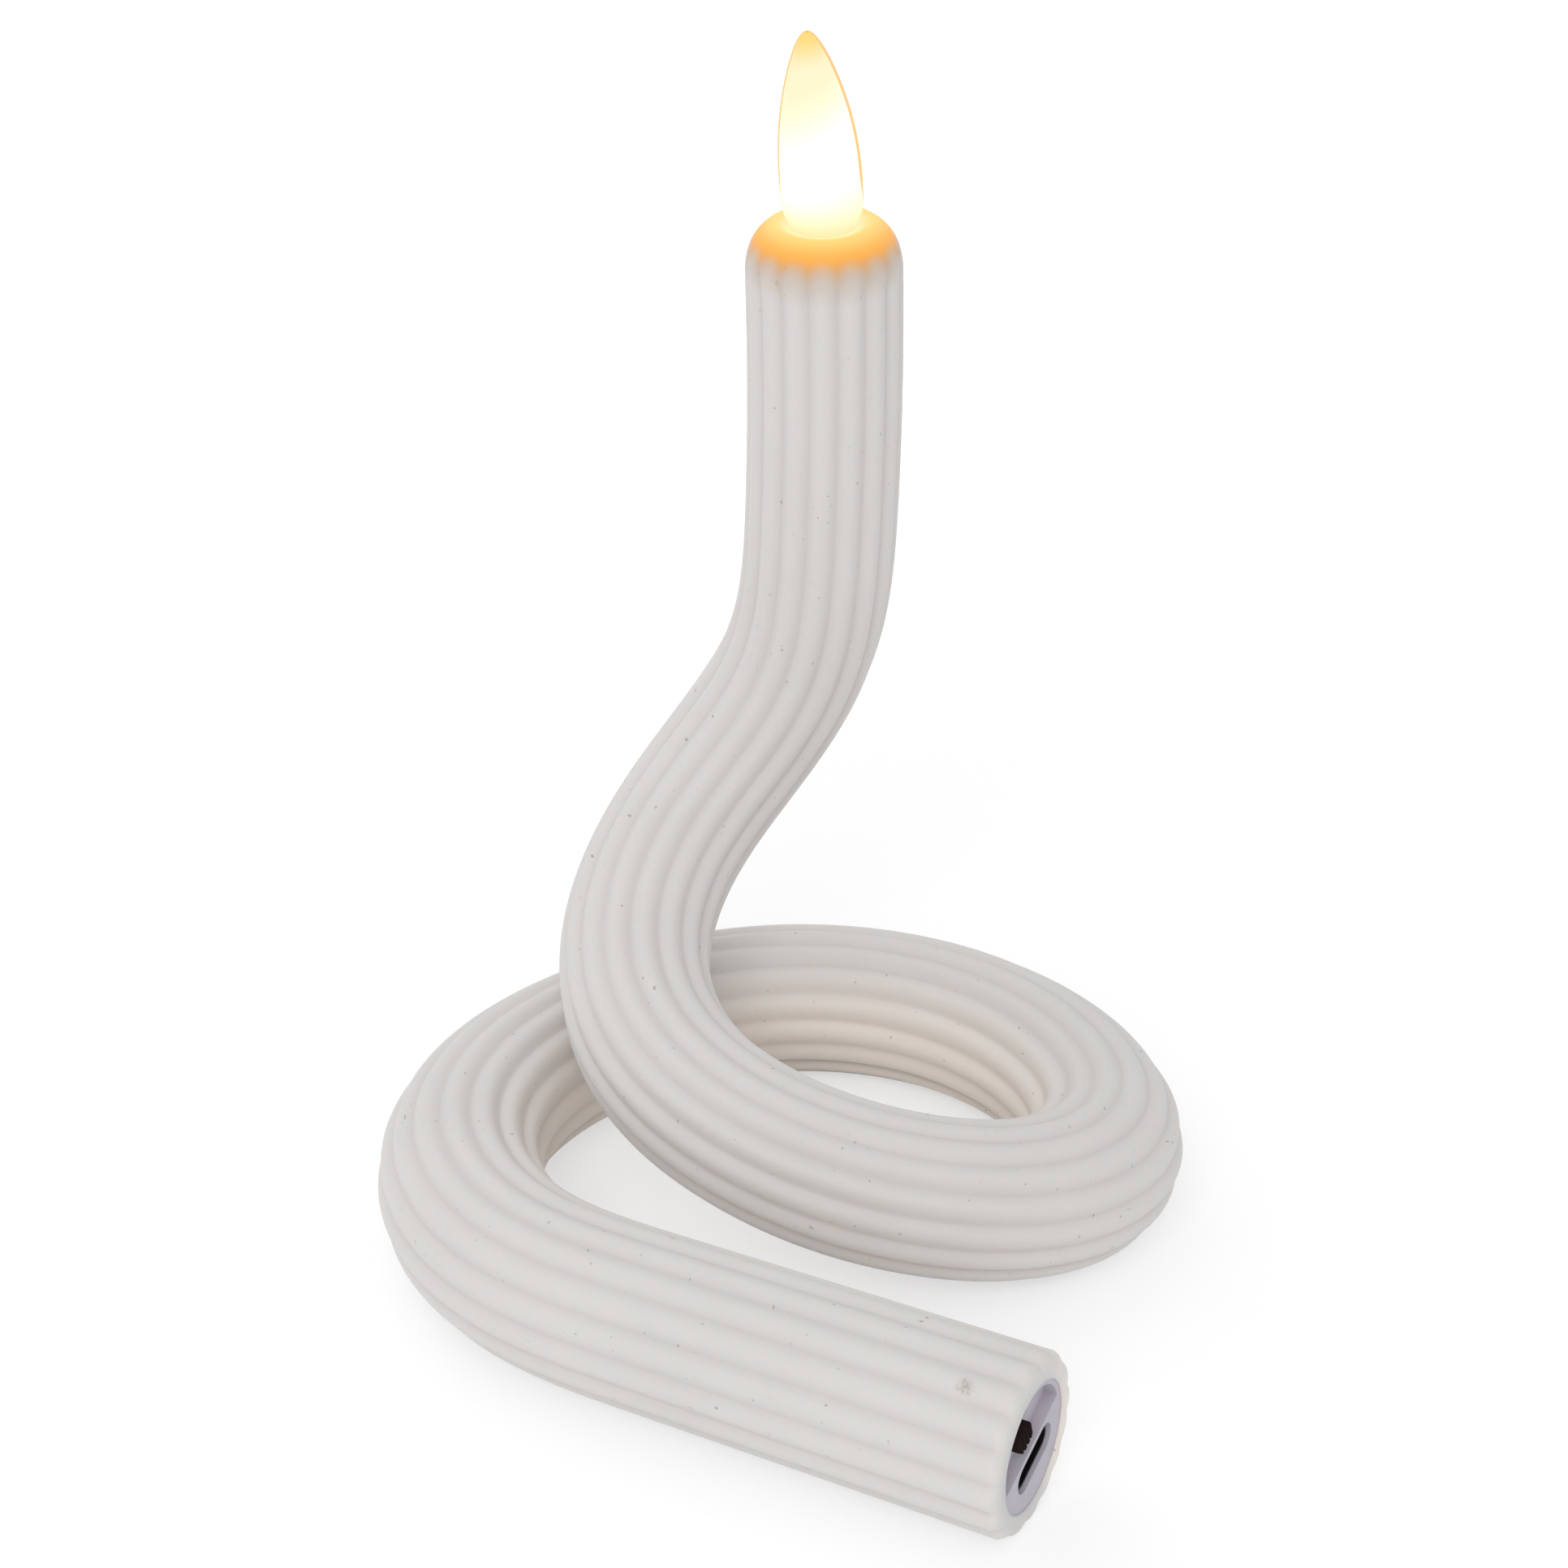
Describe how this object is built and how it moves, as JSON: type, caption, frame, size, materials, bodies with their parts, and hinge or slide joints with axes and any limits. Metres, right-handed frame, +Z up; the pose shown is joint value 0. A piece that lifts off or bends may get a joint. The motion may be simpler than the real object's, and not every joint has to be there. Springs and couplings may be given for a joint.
{
  "type": "bendable led candle",
  "caption": "Ribbed silicone LED taper candle bent by hand into a standing loop, with a glowing flame-shaped tip and a plug with socket and switch in its foot.",
  "frame": {"origin": "middle of the footprint, on the table", "axes": "+Z up, the stem stands along it; +Y from the viewer towards the back of the loop; +X to the right, towards the plug end"},
  "size_m": [0.1096, 0.125, 0.1604],
  "materials": {
    "silicone": "matt ribbed silicone, lit warm from inside at the dome",
    "plug_white": "fine matt moulding",
    "inner_plastic": "plain moulding",
    "black_plastic": "fine matt moulding",
    "steel": "stamped sheet",
    "nickel": "thin nickel strip",
    "board_green": "solder-resist lacquer",
    "chip_black": "moulded package",
    "ceramic": "fired ceramic",
    "cell_wrap": "metal can in shrink film",
    "core_metal": "drawn soft wire",
    "red_insulation": "extruded insulation",
    "black_insulation": "extruded insulation",
    "lamp_resin": "clear cast resin",
    "flame": "thin frosted shell, glowing"
  },
  "bodies": {
    "candle": {"sleeve_lower": "silicone", "end_plug": "plug_white", "battery_tube": "inner_plastic", "switch_body": "steel", "socket_shell": "steel", "socket_tongue": "black_plastic", "main_board": "board_green", "charge_chip": "chip_black", "driver_chip": "chip_black", "lamp_resistor": "chip_black", "charge_capacitor": "ceramic", "battery_cell": "cell_wrap", "positive_tab": "nickel", "negative_tab": "nickel", "core_wire": "core_metal", "lead_red": "red_insulation", "lead_black": "black_insulation"},
    "knob": {"switch_knob": "black_plastic"},
    "stem": {"sleeve_upper": "silicone", "lamp_holder": "inner_plastic", "lamp": "lamp_resin", "lamp_leg_red": "steel", "lamp_leg_black": "steel", "shrink_red": "red_insulation", "shrink_black": "black_insulation", "flame_shell": "flame"}
  },
  "joints": [
    {"name": "switch_slide", "type": "slide", "parent": "candle", "child": "knob", "axis": [0.4367, 0.8354, 0.3338], "range_m": [0, 0.0029]},
    {"name": "stem_bend", "type": "hinge", "parent": "candle", "child": "stem", "pos_m": [0.00475, 0.04578, 0.09179], "axis": [0, 1, 0], "range_deg": [-25, 25], "deforming": ["core_wire", "lead_red", "lead_black"]}
  ]
}
